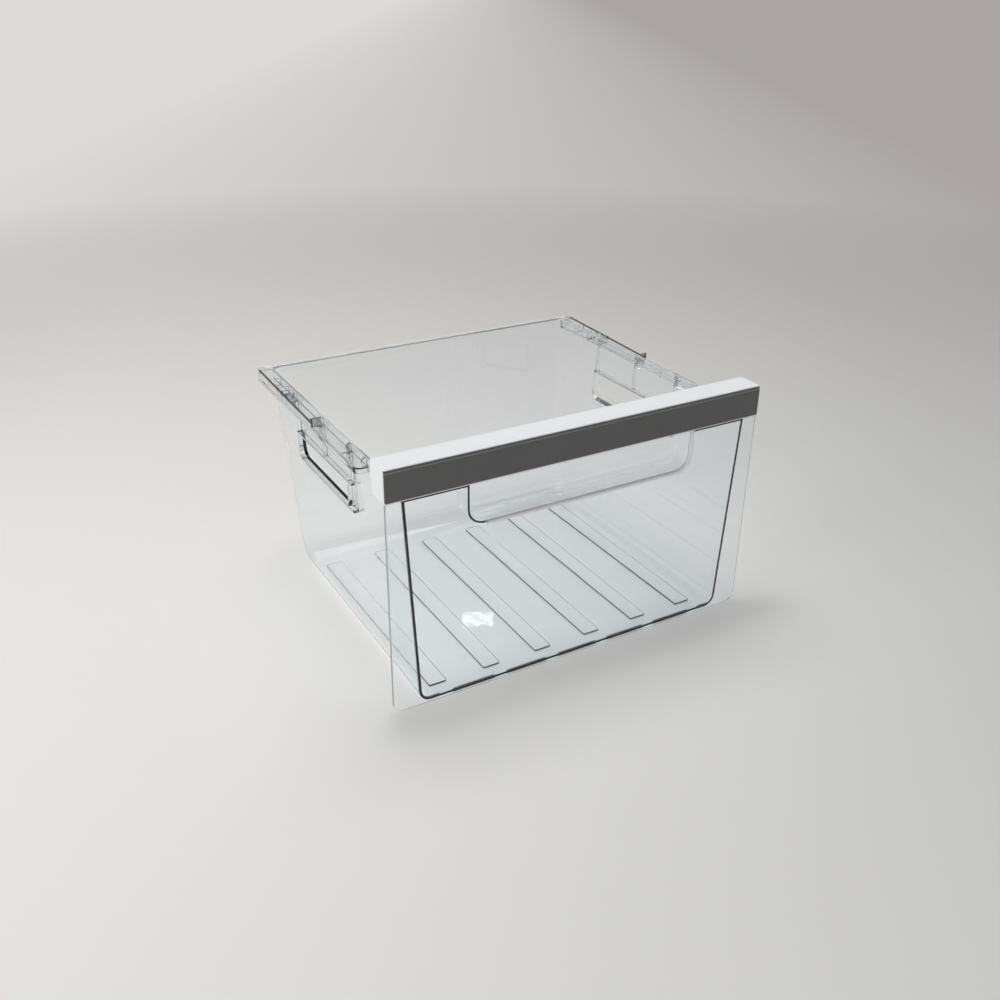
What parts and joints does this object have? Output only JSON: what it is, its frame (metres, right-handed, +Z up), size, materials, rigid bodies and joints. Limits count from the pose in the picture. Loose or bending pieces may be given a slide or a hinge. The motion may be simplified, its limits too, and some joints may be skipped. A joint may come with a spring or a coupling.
{
  "type": "refrigerator drawer",
  "caption": "Clear refrigerator drawer: tapered tub with side rails and hand holds, wide front panel with finger pocket, white grip cap and grey trim strip.",
  "frame": {"origin": "middle of the footprint, on the surface the drawer stands on", "axes": "+X to the right seen from the front, +Y towards the back of the drawer, +Z up"},
  "size_m": [0.42, 0.35, 0.257],
  "materials": {
    "clear_plastic": "clear moulded polystyrene, polished",
    "white_plastic": "white moulded plastic, satin gloss",
    "grey_trim": "dark grey satin trim",
    "adhesive_tape": "double-sided foam tape"
  },
  "bodies": {
    "root": {"drawer_tub": "clear_plastic", "front_panel": "clear_plastic", "handle_cap": "white_plastic", "trim_strip": "grey_trim", "trim_tape": "adhesive_tape"}
  },
  "joints": []
}
